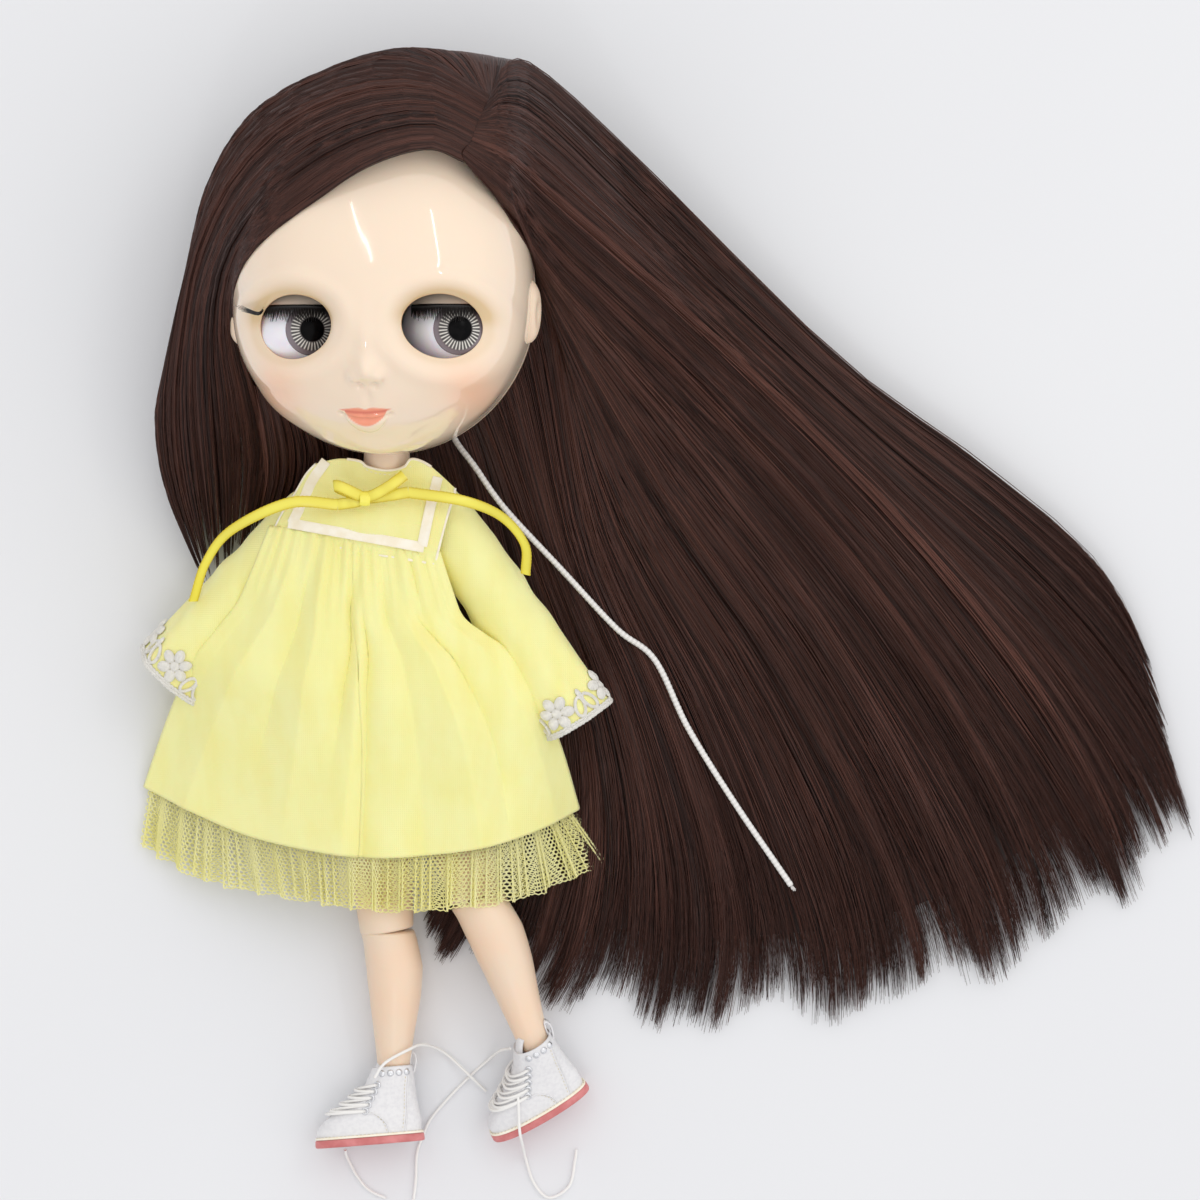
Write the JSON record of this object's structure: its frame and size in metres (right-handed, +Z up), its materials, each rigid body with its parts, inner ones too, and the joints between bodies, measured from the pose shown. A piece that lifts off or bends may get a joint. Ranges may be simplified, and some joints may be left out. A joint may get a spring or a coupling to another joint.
{
  "type": "jointed fashion doll",
  "caption": "Jointed fashion doll lying on its back, with pull-cord eyes, long brown hair, a yellow dress and laced white boots.",
  "frame": {"origin": "on the surface that the doll lies on, at the flat back of its skirt, under its waist", "axes": "+X to the doll's left, +Y towards its head, +Z up from the surface, the way its face looks"},
  "size_m": [0.3074, 0.325, 0.0908],
  "materials": {
    "skin": "gloss",
    "scalp": "matte",
    "hair": "satin",
    "dress_cloth": "matte",
    "net": "matte",
    "ribbon": "satin",
    "white_lace": "matte",
    "cord": "matte",
    "boot_leather": "satin",
    "sole": "satin",
    "eye": "gloss",
    "lid": "satin",
    "mechanism": "matte",
    "steel": "satin"
  },
  "bodies": {
    "torso": {"torso_front": "skin", "torso_back": "skin", "neck_post": "skin", "dress_bodice": "dress_cloth", "dress_collar": "dress_cloth", "ribbon_bow": "ribbon", "ribbon_tail_right": "ribbon", "ribbon_tail_left": "ribbon", "skirt_back": "dress_cloth", "skirt_front": "dress_cloth", "tulle_ruffle": "net", "hair_fan": "hair", "hair_lock": "hair"},
    "head": {"face_plate": "skin", "back_plate": "skin", "scalp_cap": "scalp", "hair_cap": "hair", "eye_frame": "mechanism", "return_spring": "steel", "head_screw_lower_right": "steel", "head_screw_lower_left": "steel", "head_screw_upper_right": "steel", "head_screw_upper_left": "steel"},
    "eyes": {"eye_right": "eye", "eye_left": "eye", "eye_shaft": "steel"},
    "eyelids": {"eyelid_right": "lid", "eyelid_left": "lid"},
    "cord": {"pull_bar": "mechanism", "pull_cord": "cord"},
    "upper_arm_right": {"upper_arm_right": "skin", "sleeve_right": "dress_cloth"},
    "forearm_right": {"forearm_right": "skin", "cuff_lace_right": "white_lace"},
    "hand_right": {"hand_right": "skin"},
    "upper_arm_left": {"upper_arm_left": "skin", "sleeve_left": "dress_cloth"},
    "forearm_left": {"forearm_left": "skin", "cuff_lace_left": "white_lace"},
    "hand_left": {"hand_left": "skin"},
    "hip_ball_right": {"hip_ball_right": "skin"},
    "thigh_right": {"thigh_right": "skin"},
    "shin_right": {"shin_right": "skin"},
    "foot_right": {"foot_right": "skin", "boot_upper_right": "boot_leather", "boot_sole_right": "sole", "boot_lacing_right": "cord", "lace_end_right_upper": "cord", "lace_end_right_lower": "cord"},
    "hip_ball_left": {"hip_ball_left": "skin"},
    "thigh_left": {"thigh_left": "skin"},
    "shin_left": {"shin_left": "skin"},
    "foot_left": {"foot_left": "skin", "boot_upper_left": "boot_leather", "boot_sole_left": "sole", "boot_lacing_left": "cord", "lace_end_left_upper": "cord", "lace_end_left_lower": "cord"}
  },
  "joints": [
    {"name": "neck_turn", "type": "hinge", "parent": "torso", "child": "head", "pos_m": [0.005, 0.09, 0.036], "axis": [0, 1, 0], "range_deg": [-50, 50], "deforming": ["hair_fan", "hair_lock"]},
    {"name": "cord_pull", "type": "slide", "parent": "head", "child": "cord", "axis": [0.0677, -0.6298, -0.7738], "range_m": [0, 0.022], "stiffness_N_per_m": 60, "deforming": ["pull_cord"]},
    {"name": "eye_turn", "type": "hinge", "parent": "head", "child": "eyes", "pos_m": [0.0033, 0.08, 0.06543], "axis": [0.9962, 0, 0.0872], "range_deg": [0, 90]},
    {"name": "lid_close", "type": "hinge", "parent": "head", "child": "eyelids", "pos_m": [0.0033, 0.08, 0.06543], "axis": [0.9962, 0, 0.0872], "range_deg": [0, 55]},
    {"name": "shoulder_right", "type": "hinge", "parent": "torso", "child": "upper_arm_right", "pos_m": [-0.01499, 0.02848, 0.02922], "axis": [-1, -0.0092, 0], "range_deg": [-10, 85], "deforming": ["sleeve_right", "dress_collar", "ribbon_tail_right", "skirt_front"]},
    {"name": "elbow_right", "type": "hinge", "parent": "upper_arm_right", "child": "forearm_right", "pos_m": [-0.03501, 0.00796, 0.0243], "axis": [-0.7159, 0.6982, 0], "range_deg": [0, 70], "deforming": ["sleeve_right"]},
    {"name": "wrist_right", "type": "hinge", "parent": "forearm_right", "child": "hand_right", "pos_m": [-0.04879, -0.00617, 0.01709], "axis": [-0.6773, -0.6944, -0.243], "range_deg": [-80, 80]},
    {"name": "shoulder_left", "type": "hinge", "parent": "torso", "child": "upper_arm_left", "pos_m": [0.024, 0.02884, 0.02922], "axis": [-1, -0.0092, 0], "range_deg": [-10, 85], "deforming": ["sleeve_left", "dress_collar", "ribbon_tail_left", "skirt_front"]},
    {"name": "elbow_left", "type": "hinge", "parent": "upper_arm_left", "child": "forearm_left", "pos_m": [0.03896, 0.00398, 0.02712], "axis": [-0.8569, -0.5155, 0], "range_deg": [0, 70], "deforming": ["sleeve_left"]},
    {"name": "wrist_left", "type": "hinge", "parent": "forearm_left", "child": "hand_left", "pos_m": [0.04945, -0.01345, 0.02186], "axis": [0.5099, -0.8475, -0.1475], "range_deg": [-80, 80]},
    {"name": "hip_right", "type": "hinge", "parent": "torso", "child": "hip_ball_right", "pos_m": [-0.00537, -0.02797, 0.01234], "axis": [-1, -0.0092, 0], "range_deg": [-5, 70], "deforming": ["skirt_front", "skirt_back", "tulle_ruffle", "lace_end_right_upper", "lace_end_right_lower"]},
    {"name": "thigh_turn_right", "type": "hinge", "parent": "hip_ball_right", "child": "thigh_right", "pos_m": [-0.00537, -0.02797, 0.01234], "axis": [-0.1714, 0.9845, 0.0361], "range_deg": [0, 90], "deforming": ["lace_end_right_upper", "lace_end_right_lower"]},
    {"name": "knee_right", "type": "hinge", "parent": "thigh_right", "child": "shin_right", "pos_m": [0.008, -0.08632, 0.0102], "axis": [0.0013, -0.0532, 0.9986], "range_deg": [0, 12], "deforming": ["lace_end_right_upper", "lace_end_right_lower"]},
    {"name": "ankle_right", "type": "hinge", "parent": "shin_right", "child": "foot_right", "pos_m": [0.0059, -0.1314, 0.0078], "axis": [0.0013, -0.0532, 0.9986], "range_deg": [-10, 10], "deforming": ["lace_end_right_upper", "lace_end_right_lower"]},
    {"name": "hip_left", "type": "hinge", "parent": "torso", "child": "hip_ball_left", "pos_m": [0.01543, -0.02778, 0.01234], "axis": [-1, -0.0092, 0], "range_deg": [-5, 70], "deforming": ["skirt_front", "skirt_back", "tulle_ruffle", "lace_end_left_upper", "lace_end_left_lower"]},
    {"name": "thigh_turn_left", "type": "hinge", "parent": "hip_ball_left", "child": "thigh_left", "pos_m": [0.01543, -0.02778, 0.01234], "axis": [-0.2833, 0.9588, -0.0218], "range_deg": [0, 90], "deforming": ["lace_end_left_upper", "lace_end_left_lower"]},
    {"name": "knee_left", "type": "hinge", "parent": "thigh_left", "child": "shin_left", "pos_m": [0.03479, -0.08205, 0.0136], "axis": [0.0034, -0.0088, 1], "range_deg": [0, 70], "deforming": ["lace_end_left_upper", "lace_end_left_lower"]},
    {"name": "ankle_left", "type": "hinge", "parent": "shin_left", "child": "foot_left", "pos_m": [0.047, -0.1228, 0.0132], "axis": [0.0034, -0.0088, 1], "range_deg": [-10, 2], "deforming": ["lace_end_left_upper", "lace_end_left_lower"]}
  ],
  "couplings": [
    {"joint": "eye_turn", "follows": "cord_pull", "rad_per_m": 69.813},
    {"joint": "lid_close", "follows": "cord_pull", "rad_per_m": 42.84}
  ]
}
